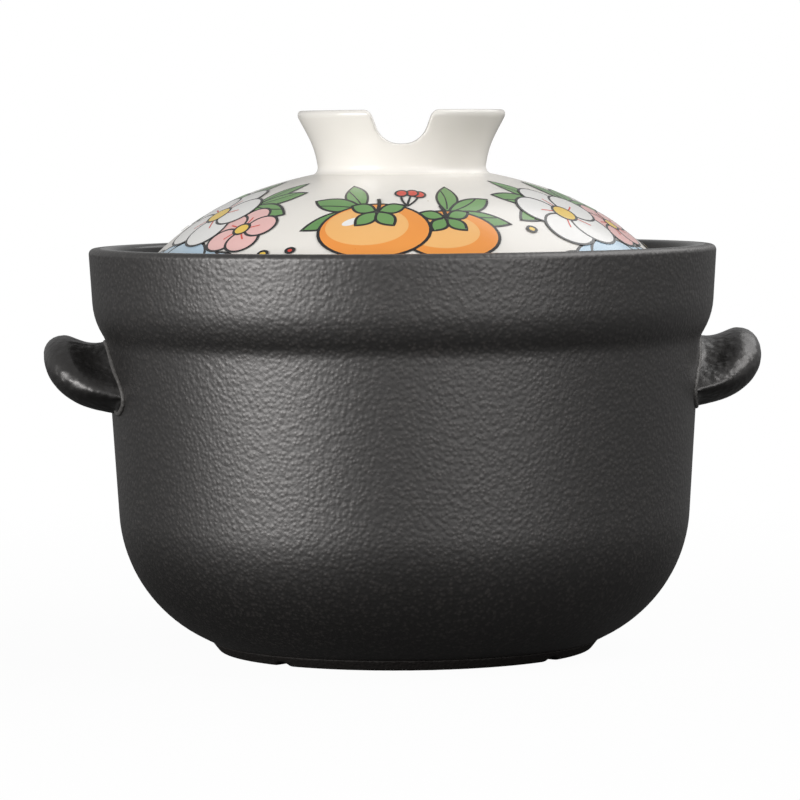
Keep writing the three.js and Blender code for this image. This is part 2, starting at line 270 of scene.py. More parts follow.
@dataclass(frozen=True)
class ClayFinish:
    """Fired clay with a dimpled grain, its colour lighter on the crests and darker in the pits as
    painted light and shade.
    """

    name: str
    # Colours in the grain's pits and on its crests: painted shade and painted light
    dark: Colour
    light: Colour
    roughness: Pair
    cells: float = 500.0
    relief: float = 0.6 * MM
    strength: float = 1.0
    specular: float = 0.5
    ior: float = 1.5
    sheen: Colour = (1.0, 0.97, 0.955)
    # Grain heights over which the colour turns from painted shade in the pits to painted light on
    # the crests
    painted_relief_heights: Pair = (0.25, 0.75)

    def material(self, grain: bpy.types.NodeTree) -> Material:
        """Builds the material.

        Args:
            grain: The clay grain group.

        Returns:
            The finished material.
        """
        made, sheet, shader = new_material(self.name)
        clay = sheet.add("ShaderNodeGroup", {"node_tree": grain}, Cells_per_metre=self.cells)
        height, tone = clay.outputs["Height"], clay.outputs["Tone"]
        # Painted light and shade: lighter on the grain's crests and darker in its pits, times the
        # slow random tone
        ridge = sheet.span(height, (0.0, 1.0), self.painted_relief_heights)
        tone_and_painted_relief = sheet.math("MULTIPLY", tone, ridge)
        bump = sheet.add(
            "ShaderNodeBump", Height=height, Distance=self.relief, Strength=self.strength)
        sheet.fill(
            shader, Base_Color=sheet.blend(tone_and_painted_relief, self.dark, self.light),
            Roughness=sheet.span(tone, self.roughness), Specular_IOR_Level=self.specular,
            IOR=self.ior, Specular_Tint=self.sheen, Normal=bump.outputs["Normal"])
        return made


@dataclass(frozen=True)
class GlazeFinish:
    """Glossy fired glaze, or underglaze paint seen through it."""

    name: str
    deep: Colour
    thin: Colour
    speck: Colour
    roughness: Pair = (0.20, 0.30)
    ripples: float = 40.0
    relief: float = 0.12 * MM
    strength: float = 0.5
    coat: float = 0.15
    coat_roughness: float = 0.12

    def material(self, flow: bpy.types.NodeTree) -> Material:
        """Builds the material.

        Args:
            flow: The glaze flow group.

        Returns:
            The finished material.
        """
        made, sheet, shader = new_material(self.name)
        glaze = sheet.add("ShaderNodeGroup", {"node_tree": flow}, Ripples_per_metre=self.ripples)
        pooling = glaze.outputs["Pooling"]
        ground = sheet.blend(pooling, self.deep, self.thin)
        bump = sheet.add(
            "ShaderNodeBump", Height=glaze.outputs["Height"], Distance=self.relief,
            Strength=self.strength)
        sheet.fill(
            shader, Base_Color=sheet.blend(glaze.outputs["Specks"], ground, self.speck),
            Roughness=sheet.span(pooling, self.roughness), Coat_Weight=self.coat,
            Coat_Roughness=self.coat_roughness, Normal=bump.outputs["Normal"])
        return made


class Finishes:
    """All the materials of the object, built once."""

    # Each clay's two colours hold painted shade in the grain's pits and painted light on its crests
    BODY = ClayFinish(
        "charcoal_clay", (0.0022, 0.0019, 0.0017), (0.036, 0.032, 0.030), (0.42, 0.50),
        strength=0.31, specular=1.0, ior=1.57, painted_relief_heights=(0.48, 0.76))
    FOOT = ClayFinish(
        "bare_foot_clay", (0.006, 0.005, 0.0046), (0.016, 0.0135, 0.012), (0.6, 0.75),
        cells=700.0, strength=0.5, specular=0.3)
    HANDLE = ClayFinish(
        "smooth_handle_clay", (0.0034, 0.0032, 0.003), (0.0105, 0.0099, 0.0095), (0.30, 0.44),
        cells=300.0, strength=0.6, specular=0.9)
    SLIP = ClayFinish(
        "joining_slip", (0.07, 0.067, 0.064), (0.115, 0.110, 0.105), (0.45, 0.6), cells=420.0)
    INSIDE = GlazeFinish(
        "black_inside_glaze", (0.010, 0.010, 0.010), (0.016, 0.0155, 0.015), (0.03, 0.03, 0.03))
    WHITE = GlazeFinish(
        "warm_white_glaze", (0.86, 0.825, 0.765), (0.905, 0.875, 0.825), (0.62, 0.55, 0.45))
    PAINTS = {
        Paint.INK: ((0.011, 0.011, 0.012), (0.022, 0.021, 0.021)),
        Paint.WHITE: ((0.86, 0.85, 0.82), (0.92, 0.91, 0.89)),
        Paint.ORANGE: ((0.85, 0.25, 0.035), (0.93, 0.42, 0.10)),
        Paint.YELLOW: ((0.86, 0.52, 0.035), (0.94, 0.70, 0.16)),
        Paint.RED: ((0.62, 0.04, 0.03), (0.80, 0.12, 0.07)),
        Paint.GREEN: ((0.09, 0.24, 0.07), (0.22, 0.42, 0.14)),
        Paint.BLUE: ((0.36, 0.56, 0.74), (0.66, 0.79, 0.88)),
        Paint.PINK: ((0.85, 0.42, 0.40), (0.92, 0.66, 0.62)),
        Paint.APRICOT: ((0.90, 0.44, 0.12), (0.95, 0.58, 0.24)),
    }

    def __init__(self) -> None:
        """Builds the two shared groups, and then the materials on them."""
        grain = clay_grain_group()
        flow = glaze_flow_group()
        self.body = self.BODY.material(grain)
        self.foot = self.FOOT.material(grain)
        self.handle = self.HANDLE.material(grain)
        self.slip = self.SLIP.material(grain)
        self.inside = self.INSIDE.material(flow)
        self.white = self.WHITE.material(flow)
        self.paints = [
            GlazeFinish(f"{paint.name.lower()}_underglaze", deep, thin, deep).material(flow)
            for paint, (deep, thin) in self.PAINTS.items()
        ]


@dataclass
class ProfilePen:
    """Draws an outline in the XZ plane, with straight lines and round corners."""

    mesh: Mesh = field(default_factory=bmesh.new)
    tip: bmesh.types.BMVert | None = None

    def move(self, x: float, z: float) -> None:
        """Starts a line at a radius and a height."""
        self.tip = self.mesh.verts.new((x, 0, z))

    def line(self, x: float, z: float) -> None:
        """Draws a straight line in short steps.

        Args:
            x: Radius of its end.
            z: Height of its end.
        """
        start = self.tip.co.copy()
        end = Vector((x, 0, z))
        steps = max(1, math.ceil((end - start).length / LINE_STEP))
        for step in range(1, steps + 1):
            grown = bmesh.ops.extrude_vert_indiv(self.mesh, verts=[self.tip])
            self.tip = grown["verts"][0]
            self.tip.co = start.lerp(end, step / steps)

    def arc(self, x: float, z: float, angle: float) -> None:
        """Swings the line's end about a centre.

        Args:
            x: Radius of the centre.
            z: Height of the centre.
            angle: Turn in radians, anticlockwise with x to the right and z up.
        """
        sweep = math.dist((self.tip.co.x, self.tip.co.z), (x, z)) * abs(angle)
        steps = max(2, math.ceil(abs(angle) / ARC_STEP), math.ceil(sweep / ARC_CHORD))
        swung = bmesh.ops.spin(
            self.mesh, geom=[self.tip], cent=(x, 0, z), axis=(0, -1, 0), dvec=(0, 0, 0),
            angle=angle, steps=steps)
        self.tip = next(item for item in swung["geom_last"] if isinstance(item, bmesh.types.BMVert))

    def corners(self, places: list[Corner]) -> None:
        """Draws on through corners, each rounded to its own radius.

        Args:
            places: Radius, height and fillet of each corner; the last one is a plain end.
        """
        for index, (x, z, fillet) in enumerate(places):
            corner = Vector((x, z))
            if fillet == 0 or index + 1 == len(places):
                self.line(x, z)
                continue
            back = (Vector((self.tip.co.x, self.tip.co.z)) - corner).normalized()
            ahead = (Vector(places[index + 1][:2]) - corner).normalized()
            half = back.angle(ahead) / 2
            start = corner + back * (fillet / math.tan(half))
            centre = corner + (back + ahead).normalized() * (fillet / math.sin(half))
            self.line(*start)
            side = back.x * ahead.y - back.y * ahead.x
            self.arc(*centre, -math.copysign(math.pi - 2 * half, side))

    def close(self, first: bmesh.types.BMVert) -> None:
        """Joins the line's end back to its first point."""
        self.line(first.co.x, first.co.z)
        bmesh.ops.remove_doubles(self.mesh, verts=self.mesh.verts, dist=MERGE_DISTANCE)

    def loop(self, x: float, z: float, places: list[Corner]) -> None:
        """Draws a closed outline.

        Args:
            x: Radius of its first point.
            z: Height of its first point.
            places: The other corners, as corners() takes them.
        """
        self.move(x, z)
        first = self.tip
        self.corners(places)
        self.close(first)


def revolve(mesh: Mesh) -> None:
    """Turns the drawn half section about the Z axis into a closed skin.

    Args:
        mesh: The mesh that holds the half section.
    """
    bmesh.ops.spin(
        mesh, geom=mesh.verts[:] + mesh.edges[:], cent=(0, 0, 0), axis=(0, 0, 1), dvec=(0, 0, 0),
        angle=2 * math.pi, steps=ROUND_STEPS, use_merge=True)
    bmesh.ops.remove_doubles(mesh, verts=mesh.verts, dist=MERGE_DISTANCE)
    bmesh.ops.recalc_face_normals(mesh, faces=mesh.faces)


def to_object(mesh: Mesh, name: str, materials: list[Material]) -> Piece:
    """Makes a smooth object of a mesh.

    Args:
        mesh: The mesh, which is freed.
        name: The object's name.
        materials: Its material slots.

    Returns:
        The object, linked to the scene.
    """
    data = bpy.data.meshes.new(name)
    mesh.to_mesh(data)
    mesh.free()
    data.shade_smooth()
    for material in materials:
        data.materials.append(material)
    piece = bpy.data.objects.new(name, data)
    bpy.context.scene.collection.objects.link(piece)
    return piece


def shown_mesh(piece: Piece) -> bpy.types.Mesh:
    """Copies an object's mesh as its modifiers or its bevel shape it."""
    shown = piece.evaluated_get(bpy.context.evaluated_depsgraph_get())
    return bpy.data.meshes.new_from_object(shown)


def bake_modifiers(piece: Piece) -> None:
    """Applies an object's modifiers to its mesh.

    Args:
        piece: The object whose modifiers are applied and removed.
    """
    made = shown_mesh(piece)
    made.shade_smooth()
    piece.modifiers.clear()
    old = piece.data
    piece.data = made
    made.name = piece.name
    bpy.data.meshes.remove(old)


def soften(piece: Piece, voxel: float, rounds: int) -> None:
    """Gives a piece the eased edges of hand-finished clay.

    Args:
        piece: The object to soften.
        voxel: Size of the even mesh that replaces its own.
        rounds: Passes of smoothing.
    """
    remesh = piece.modifiers.new("even_mesh", "REMESH")
    remesh.mode = "VOXEL"
    remesh.voxel_size = voxel
    ease = piece.modifiers.new("eased", "SMOOTH")
    ease.factor = EASE_SHARE
    ease.iterations = rounds
    bake_modifiers(piece)


def cut(piece: Piece, cutters: list[Piece]) -> None:
    """Cuts bodies out of a piece and removes them.

    Args:
        piece: The object to cut.
        cutters: The bodies to take away.
    """
    for cutter in cutters:
        taken = piece.modifiers.new(cutter.name, "BOOLEAN")
        taken.operation = "DIFFERENCE"
        taken.solver = "EXACT"
        taken.object = cutter
    bake_modifiers(piece)
    for cutter in cutters:
        bpy.data.objects.remove(cutter)


def dress(piece: Piece, body: Body, slot: Slot, *nodes: str) -> None:
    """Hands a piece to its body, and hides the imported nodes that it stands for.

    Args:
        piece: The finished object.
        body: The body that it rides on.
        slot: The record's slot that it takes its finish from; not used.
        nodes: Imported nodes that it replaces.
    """
    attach(piece, body.value)
    if nodes:
        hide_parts(*nodes)
    log.info("%s: %d faces on %s", piece.name, len(piece.data.polygons), body.value)


@dataclass
class Pot:
    """The pot's bowl and its foot ring."""

    finishes: Finishes
    rim_radius: float = 112.49 * MM
    rim_height: float = 145 * MM
    rim_round: float = 2 * MM
    collar_wall: float = 8 * MM
    collar_corner_height: float = 119.5 * MM
    collar_curve: float = 25 * MM
    neck_step: float = 4.6 * MM
    neck_height: float = 111.8 * MM
    neck_fillet: float = 10 * MM
    draft: float = math.radians(3.5)
    wall: float = 8.5 * MM
    belly: float = 52 * MM
    underside_slope: float = math.radians(27)
    floor_thickness: float = 8 * MM
    floor_curve: float = 35.5 * MM
    ledge_radius: float = 102 * MM
    ledge_height: float = 122 * MM
    ledge_width: float = 7 * MM
    ledge_thickness: float = 7 * MM
    ledge_round: float = 1.5 * MM
    foot_radius: float = 70 * MM
    foot_height: float = 4 * MM
    foot_taper: float = 3.2 * MM
    foot_width: float = 10 * MM
    foot_round: float = 1.2 * MM
    foot_voxel: float = 0.6 * MM
    foot_easing: int = 2
    notch_bearings: tuple[float, ...] = (45, 135, 225, 315)
    notch_width: float = 6.5 * MM
    notch_depth: float = 1.8 * MM

    def collar_radius(self) -> float:
        """Radius at the collar's lower corner."""
        drop = self.rim_height - self.collar_corner_height
        return self.rim_radius - drop * math.tan(self.draft)

    def wall_radius(self, height: float, inset: float = 0.0) -> float:
        """Radius of the pot's side at a height below the neck, at a depth below the outside."""
        neck = self.collar_radius() - self.neck_step - inset / math.cos(self.draft)
        return neck - (self.neck_height - height) * math.tan(self.draft)

    def belly_corner(self) -> Pair:
        """Finds where the side and the underside would meet without their round.

        Returns:
            Radius and height of that corner.
        """
        rise = math.tan(self.underside_slope)
        lean = math.tan(self.draft)
        start = self.wall_radius(self.foot_height)
        radius = (start - lean * rise * self.foot_radius) / (1 - lean * rise)
        return radius, self.foot_height + rise * (radius - self.foot_radius)

    def bowl(self) -> Piece:
        """Builds the bowl with its collar and inner ledge.

        Returns:
            The bowl.
        """
        pen = ProfilePen()
        ledge_inner = self.ledge_radius - self.ledge_width
        ledge_under = self.ledge_height - self.ledge_thickness
        inside_neck = self.wall_radius(ledge_under, self.wall)
        floor = self.foot_height + self.floor_thickness
        pen.move(0, self.foot_height)
        pen.corners([
            (self.foot_radius, self.foot_height, 0),
            (*self.belly_corner(), self.belly),
            (self.wall_radius(self.neck_height), self.neck_height, self.neck_fillet),
            (self.collar_radius(), self.collar_corner_height, self.collar_curve),
            (self.rim_radius, self.rim_height, self.rim_round),
            (self.rim_radius - self.collar_wall, self.rim_height, self.rim_round),
            (self.ledge_radius, self.ledge_height, self.ledge_round),
            (ledge_inner, self.ledge_height, self.ledge_round),
            (ledge_inner, ledge_under, self.ledge_round),
            (inside_neck, ledge_under - (inside_neck - ledge_inner), 0),
            (self.wall_radius(floor, self.wall), floor, self.floor_curve),
            (0, floor, 0),
        ])
        revolve(pen.mesh)
        self.glaze_inside(pen.mesh)
        bowl = to_object(pen.mesh, "bowl", [self.finishes.body, self.finishes.inside])
        dress(bowl, Body.POT, Slot.BODY, "pot_body")
        return bowl

    def glaze_inside(self, mesh: Mesh) -> None:
        """Gives the faces inside the rim the inner glaze.

        Args:
            mesh: The bowl's mesh.
        """
        rim_middle = self.rim_radius - self.collar_wall / 2
        for face in mesh.faces:
            middle = face.calc_center_median()
            radius = math.hypot(middle.x, middle.y)
            limit = self.wall_radius(middle.z, self.wall / 2)
            if middle.z > self.ledge_height:
                limit = rim_middle
            low = middle.z < self.foot_height + self.floor_thickness / 2
            under = low or radius > self.belly_limit(middle.z)
            face.material_index = 0 if under or radius > limit else 1

    def belly_limit(self, height: float) -> float:
        """Finds the middle of the wall in the rounded belly.

        Args:
            height: Height above the table.

        Returns:
            The radius there, or the rim's above the belly.
        """
        tangent = self.wall_radius(self.foot_height + self.belly)
        drop = self.foot_height + self.belly - height
        middle = self.belly - self.wall / 2
        if drop <= 0:
            return self.rim_radius
        return tangent - self.belly + math.sqrt(max(0.0, middle**2 - drop**2))

    def foot(self) -> None:
        """Builds the foot ring and cuts its four notches."""
        pen = ProfilePen()
        inner = self.foot_radius - self.foot_width
        pen.loop(inner - self.foot_taper, self.foot_height, [
            (inner, 0, self.foot_round),
            (self.foot_radius - self.foot_taper, 0, self.foot_round),
            (self.foot_radius, self.foot_height, 0),
        ])
        revolve(pen.mesh)
        ring = to_object(pen.mesh, "foot", [self.finishes.foot])
        cut(ring, [self.notch_bar(bearing) for bearing in self.notch_bearings])
        soften(ring, self.foot_voxel, self.foot_easing)
        dress(ring, Body.POT, Slot.FOOT, "foot_ring")

    def notch_bar(self, bearing: float) -> Piece:
        """Builds the round bar that cuts one notch.

        Args:
            bearing: Direction of the notch from +X, in degrees.

        Returns:
            The bar.
        """
        radius = (self.notch_width**2 / 4 + self.notch_depth**2) / (2 * self.notch_depth)
        mesh = bmesh.new()
        bmesh.ops.create_cone(
            mesh, cap_ends=True, segments=NOTCH_SIDES, radius1=radius, radius2=radius,
            depth=self.foot_radius)
        lie_down = Matrix.Rotation(math.pi / 2, 4, "Y")
        out = Matrix.Translation((self.foot_radius, 0, self.notch_depth - radius))
        turned = Matrix.Rotation(math.radians(bearing), 4, "Z")
        bmesh.ops.transform(mesh, matrix=turned @ out @ lie_down, verts=mesh.verts)
        return to_object(mesh, f"notch_{bearing}", [])


@dataclass
class Handle:
    """An arched lug handle with a rolled lip, and the slip that joins it to the pot."""

    name: str
    side: int
    pot: Pot
    reach: float = 128.8 * MM
    end_reach: float = 105 * MM
    span: float = math.radians(50)
    arch_width: float = 43 * MM
    arch_rise: float = 18.5 * MM
    top: float = 112.5 * MM
    web: float = 9 * MM
    under_reach: float = 0.667
    under_swell: float = 1.05
    dip: float = 1.6 * MM
    lip_rise: float = 1.8 * MM
    lip_end_rise: float = 5 * MM
    lip_under: float = 2.6 * MM
    lip_length: float = 7.5 * MM
    lip_share: float = 0.75
    lip_close: float = 0.60
    lip_full: float = 0.90
    end_drop: float = 2.4 * MM
    end_length: float = 6.6 * MM
    end_shrink: float = 4.0 * MM
    end_steps: tuple[float, ...] = (0.0, 0.02, 0.06, 0.2, 0.45, 0.75)
    bury: float = 1.2 * MM
    bead: float = 0.9 * MM
    bead_lift: float = 0.25
    bead_easing: int = 10
    bead_rings: int = 4
    steps: int = 56
    curve_points: int = 14

    def section(self, length: float, along: float, shrink: float) -> list[Vector]:
        """One radial section, outwards along x and across the web along y.

        Args:
            length: Distance from the root to the outermost point.
            along: Place along the arch, from 0 at its top to 1 at either end.
            shrink: Amount taken off all round.

        Returns:
            Points of the section, from the root's lower edge round the lip to its upper edge.
        """
        half = self.web / 2 - shrink
        rise = self.lip_rise + (self.lip_end_rise - self.lip_rise) * along**2
        ending = min(1.0, max(0.0, (along - self.lip_close) / (self.lip_full - self.lip_close)))
        ending = ending**2 * (3 - 2 * ending)
        lip_length = min(self.lip_length, self.lip_share * length)
        lip_start = length - lip_length
        lip_top = half + rise
        lip_bottom = -half - self.lip_under
        beyond = length + lip_length / 3
        hollow = half - 2 * self.dip * (1 - ending) + rise * ending
        low = (lip_start, lip_bottom)
        high = (lip_start, lip_top)
        under = (
            (0, -half), (lip_start / 3, -half),
            (lip_start * self.under_reach, -half * self.under_swell), low)
        nose = (low, (beyond, lip_bottom), (beyond, lip_top), high)
        over = (
            high, (lip_start - lip_length / 2, lip_top), (lip_start / 2, hollow),
            (0, half + rise * ending))
        curves = [
            interpolate_bezier(*(Vector(knot) for knot in knots), self.curve_points)
            for knots in (under, nose, over)]
        return curves[0][:-1] + curves[1][:-1] + curves[2]

    def root(self, y: float, z: float) -> float:
        """How far out the handle starts, a little inside the pot's wall."""
        return math.sqrt(self.pot.wall_radius(z) ** 2 - y**2) - self.bury

    def station(self, along: float, drop: float, shrink: float) -> list[Vector]:
        """Places a section on the arch.

        Args:
            along: Place along the arch, from -1 at one end over the top at 0 to 1.
            drop: Distance beyond the arch's end.
            shrink: Amount taken off the section all round.

        Returns:
            Points of the section on the pot's +X side.
        """
        angle = along * self.span
        half_width = self.arch_width / 2 / math.sin(self.span)
        rise = self.arch_rise / (1 - math.cos(self.span))
        fall = (1 - math.cos(angle)) / (1 - math.cos(self.span))
        fullness = math.sqrt(max(0.0, 1 - fall**2))
        reach = self.end_reach + (self.reach - self.end_reach) * fullness - shrink
        across = Vector((math.sin(angle) / half_width, math.cos(angle) / rise)).normalized()
        onward = math.copysign(drop, along) * Vector((across.y, -across.x))
        height = self.top - self.web / 2 - self.arch_rise * fall
        middle = Vector((half_width * math.sin(angle), height)) + onward
        length = reach - self.root(*middle)
        placed = []
        for point in self.section(length, abs(along), shrink):
            y, z = middle + across * point.y
            root = self.root(y, z)
            placed.append(Vector((root + (reach - root) * point.x / length, y, z)))
        return placed

    def rounded(self, distance: float) -> float:
        """Amount taken off a section at a distance from the end, on a quarter of an ellipse."""
        share = max(0.0, 1 - distance / self.end_length)
        return self.end_shrink * (1 - math.sqrt(1 - share**2))

    def stations(self) -> list[list[Vector]]:
        """Lays out all the sections.

        Returns:
            The sections from one rolled end over the arch to the other.
        """
        half_width = self.arch_width / 2 / math.tan(self.span)
        rise = self.arch_rise / math.tan(self.span / 2)
        end_run = math.hypot(half_width, rise) * self.span
        places = [
            math.sin(math.pi * (step / self.steps - 0.5)) for step in range(self.steps + 1)]
        arch = [
            self.station(place, 0.0, self.rounded(self.end_drop + (1 - abs(place)) * end_run))
            for place in places]
        tips = [
            (self.end_drop * (1 - share), self.rounded(self.end_drop * share))
            for share in self.end_steps]
        front = [self.station(-1, drop, shrink) for drop, shrink in tips]
        back = [self.station(1, drop, shrink) for drop, shrink in reversed(tips)]
        return front + arch + back

    def turn(self) -> Matrix:
        """Rotation that brings the +X handle to this handle's side."""
        return Matrix.Rotation(0 if self.side > 0 else math.pi, 4, "Z")

    def lug(self) -> None:
        """Builds the handle as a closed skin over its sections."""
        mesh = bmesh.new()
        rings = []
        for points in self.stations():
            corners = [mesh.verts.new(point) for point in points]
            pairs = zip(corners, corners[1:] + corners[:1])
            rings.append([mesh.edges.new(pair) for pair in pairs])
        for before, after in zip(rings, rings[1:]):
            bmesh.ops.bridge_loops(mesh, edges=before + after)
        for ring in (rings[0], rings[-1]):
            bmesh.ops.contextual_create(mesh, geom=ring)
        bmesh.ops.recalc_face_normals(mesh, faces=mesh.faces)
        bmesh.ops.transform(mesh, matrix=self.turn(), verts=mesh.verts)
        lug = to_object(mesh, f"{self.name}_lug", [self.pot.finishes.handle])
        dress(lug, Body.POT, Slot.HANDLE, f"{self.name}_handle")

    def bead_path(self, bowl: Piece) -> list[Vector]:
        """Follows the handle's root round on the bowl.

        Args:
            bowl: The bowl that the bead lies on.

        Returns:
            Places along the bead's middle line.
        """
        sections = self.stations()
        outline = [points[-1] for points in sections]
        outline += [points[0] for points in reversed(sections)]
        for _ in range(self.bead_easing):
            ahead = outline[1:] + outline[:1]
            behind = outline[-1:] + outline[:-1]
            outline = [
                (before + point * 2 + after) / 4
                for before, point, after in zip(behind, outline, ahead)]
        surface = BVHTree.FromObject(bowl, bpy.context.evaluated_depsgraph_get())
        found = [surface.find_nearest(self.turn() @ point) for point in outline]
        lift = self.bead * self.bead_lift
        return [place + normal * lift for place, normal, _, _ in found]

    def slip(self, bowl: Piece) -> None:
        """Builds the bead of slip round the handle's root.

        Args:
            bowl: The bowl that the bead lies on.
        """
        path = self.bead_path(bowl)
        curve = bpy.data.curves.new(f"{self.name}_bead", "CURVE")
        curve.dimensions = "3D"
        curve.bevel_depth = self.bead
        curve.bevel_resolution = self.bead_rings
        strand = curve.splines.new("POLY")
        strand.use_cyclic_u = True
        strand.points.add(len(path) - 1)
        for knot, place in zip(strand.points, path):
            knot.co = (*place, 1)
        drawn = bpy.data.objects.new(curve.name, curve)
        bpy.context.scene.collection.objects.link(drawn)
        bpy.context.view_layer.update()
        data = shown_mesh(drawn)
        bpy.data.objects.remove(drawn)
        mesh = bmesh.new()
        mesh.from_mesh(data)
        bpy.data.meshes.remove(data)
        bmesh.ops.recalc_face_normals(mesh, faces=mesh.faces)
        bead = to_object(mesh, f"{self.name}_slip", [self.pot.finishes.slip])
        dress(bead, Body.POT, Slot.SLIP, f"{self.name}_handle_slip")


@dataclass
class Lid:
    """The domed lid with its knob."""

    finishes: Finishes
    radius: float = 100 * MM
    seat: float = 122.3 * MM
    apex: float = 173.956 * MM
    crown: float = 160 * MM
    shoulder: float = 99 * MM
    shoulder_start: float = math.radians(18.2)
    wall: float = 6.5 * MM
    edge_round: float = 1 * MM
    rim_round: float = 2.5 * MM
    flange_radius: float = 93.8 * MM
    flange_depth: float = 6 * MM
    flange_width: float = 6 * MM
    vent: float = 3 * MM
    turn: float = math.radians(-5)
    knob_base: float = 29.8 * MM
    knob_base_rise: float = 0.3 * MM
    knob_inner_rise: float = 0.5 * MM
    knob_bury: float = 0.4 * MM
    knob_waist: float = 31.2 * MM
    knob_waist_height: float = 180.156 * MM
    knob_lip: float = 37.2 * MM
    knob_lip_drop: float = 2.2 * MM
    knob_top: float = 193.556 * MM
    knob_flare: float = 32 * MM
    knob_wall: float = 6.2 * MM
    knob_round: float = 1.1 * MM
    knob_voxel: float = 0.5 * MM
    knob_easing: int = 14
    slot_brim: float = 0.4 * MM
    slot_depth: float = 12 * MM
    slot_bottom: float = 14 * MM
    slot_top: float = 23 * MM
    slot_round: float = 9 * MM
    slot_edge: float = 3.5 * MM
    slot_reach: float = 1.2
    fillet: float = 3.4 * MM
    fillet_share: float = 0.8

    def crown_centre(self) -> float:
        """Height of the crown arc's centre, which is on the axis."""
        return self.apex - self.crown

    def shoulder_centre(self) -> Pair:
        """Finds the centre of the shoulder arc, which runs on from the crown without a kink.

        Returns:
            Its radius and height.
        """
        offset = self.crown - self.shoulder
        rise = offset * math.cos(self.shoulder_start)
        return offset * math.sin(self.shoulder_start), self.crown_centre() + rise

    def height_at(self, radius: float) -> float:
        """Height of the crown's surface at a radius."""
        return self.crown_centre() + math.sqrt(self.crown**2 - radius**2)

    def along(self, distance: float) -> tuple[Vector, Vector]:
        """Walks down the dome from its apex.

        Args:
            distance: Length along the surface.

        Returns:
            The place as radius and height, and the surface's normal there.
        """
        turn_point = self.crown * self.shoulder_start
        if distance <= turn_point:
            angle = distance / self.crown
            centre, reach = Vector((0, self.crown_centre())), self.crown
        else:
            angle = self.shoulder_start + (distance - turn_point) / self.shoulder
            centre, reach = Vector(self.shoulder_centre()), self.shoulder
        normal = Vector((math.sin(angle), math.cos(angle)))
        return centre + normal * reach, normal

    def dome(self) -> None:
        """Builds the dome with its seat, flange and vent."""
        pen = ProfilePen()
        centre_x, centre_z = self.shoulder_centre()
        crown_z = self.crown_centre()
        eased = self.shoulder - self.rim_round
        edge_angle = math.asin((self.radius - self.rim_round - centre_x) / eased)
        edge_z = centre_z + eased * math.cos(edge_angle)
        flange_inner = self.flange_radius - self.flange_width
        flange_low = self.seat - self.flange_depth
        inner_shoulder = self.shoulder - self.wall
        inner_angle = math.asin((flange_inner - centre_x) / inner_shoulder)
        vent_angle = math.asin(self.vent / self.crown)
        vent_inner_angle = math.asin(self.vent / (self.crown - self.wall))
        pen.move(self.vent, self.height_at(self.vent))
        first = pen.tip
        pen.arc(0, crown_z, vent_angle - self.shoulder_start)
        pen.arc(centre_x, centre_z, self.shoulder_start - edge_angle)
        pen.arc(self.radius - self.rim_round, edge_z, edge_angle - math.pi / 2)
        pen.corners([
            (self.radius, self.seat, self.edge_round),
            (self.flange_radius, self.seat, 0),
            (self.flange_radius, flange_low, self.edge_round),
            (flange_inner, flange_low, self.edge_round),
            (flange_inner, centre_z + inner_shoulder * math.cos(inner_angle), 0),
        ])
        pen.arc(centre_x, centre_z, inner_angle - self.shoulder_start)
        pen.arc(0, crown_z, self.shoulder_start - vent_inner_angle)
        pen.close(first)
        revolve(pen.mesh)
        dome = to_object(pen.mesh, "dome", [self.finishes.white])
        dress(dome, Body.LID, Slot.LID, "lid_dome")

    def knob(self) -> None:
        """Builds the hollow knob with its slot and its fillet onto the dome."""
        pen = ProfilePen()
        inner = self.knob_base - self.knob_wall
        outer_foot = self.knob_base + self.fillet
        inner_foot = inner - self.fillet / 2
        base_z = self.height_at(self.knob_base) + self.knob_base_rise
        pen.loop(inner_foot, self.height_at(inner_foot) - self.knob_bury, [
            (outer_foot, self.height_at(outer_foot) - self.knob_bury, 0),
            (self.knob_base, base_z, self.fillet * self.fillet_share),
            (self.knob_waist, self.knob_waist_height, self.knob_flare),
            (self.knob_lip, self.knob_top - self.knob_lip_drop, self.knob_round),
            (self.knob_lip, self.knob_top, self.knob_round),
            (self.knob_lip - self.knob_wall, self.knob_top, self.knob_round),
            (self.knob_waist - self.knob_wall, self.knob_waist_height, self.knob_flare),
            (inner, self.height_at(inner) + self.knob_inner_rise, 0),
        ])
        revolve(pen.mesh)
        knob = to_object(pen.mesh, "knob", [self.finishes.white])
        cut(knob, [self.slot_block()])
        soften(knob, self.knob_voxel, self.knob_easing)
        dress(knob, Body.LID, Slot.KNOB, "lid_knob", "knob_slip")

    def slot_block(self) -> Piece:
        """Builds the block that cuts the slot through the knob's front and back.

        Returns:
            The block.
        """
        pen = ProfilePen()
        mesh = pen.mesh
        brim = self.knob_top + self.slot_brim
        bottom = self.knob_top - self.slot_depth
        wide = self.knob_lip * self.slot_reach
        pen.loop(-wide, brim + self.slot_depth, [
            (-wide, brim, 0),
            (-self.slot_top / 2, brim, self.slot_edge),
            (-self.slot_bottom / 2, bottom, self.slot_round),
            (self.slot_bottom / 2, bottom, self.slot_round),
            (self.slot_top / 2, brim, self.slot_edge),
            (wide, brim, 0),
            (wide, brim + self.slot_depth, 0),
        ])
        face = bmesh.ops.contextual_create(mesh, geom=mesh.edges[:])["faces"]
        grown = bmesh.ops.extrude_face_region(mesh, geom=face)["geom"]
        tips = [item for item in grown if isinstance(item, bmesh.types.BMVert)]
        bmesh.ops.translate(mesh, verts=tips, vec=(0, 4 * wide, 0))
        bmesh.ops.translate(mesh, verts=mesh.verts, vec=(0, -2 * wide, 0))
        bmesh.ops.recalc_face_normals(mesh, faces=mesh.faces)
        bmesh.ops.rotate(mesh, verts=mesh.verts, matrix=Matrix.Rotation(self.turn, 3, "Z"))
        return to_object(mesh, "slot", [])


@dataclass(frozen=True)
class Spot:
    """A plain patch of colour on a motif, with sizes and places as shares of its radius."""

    paint: Paint
    size: float
    squash: float
    x: float
    y: float
    turn: float = 0.0


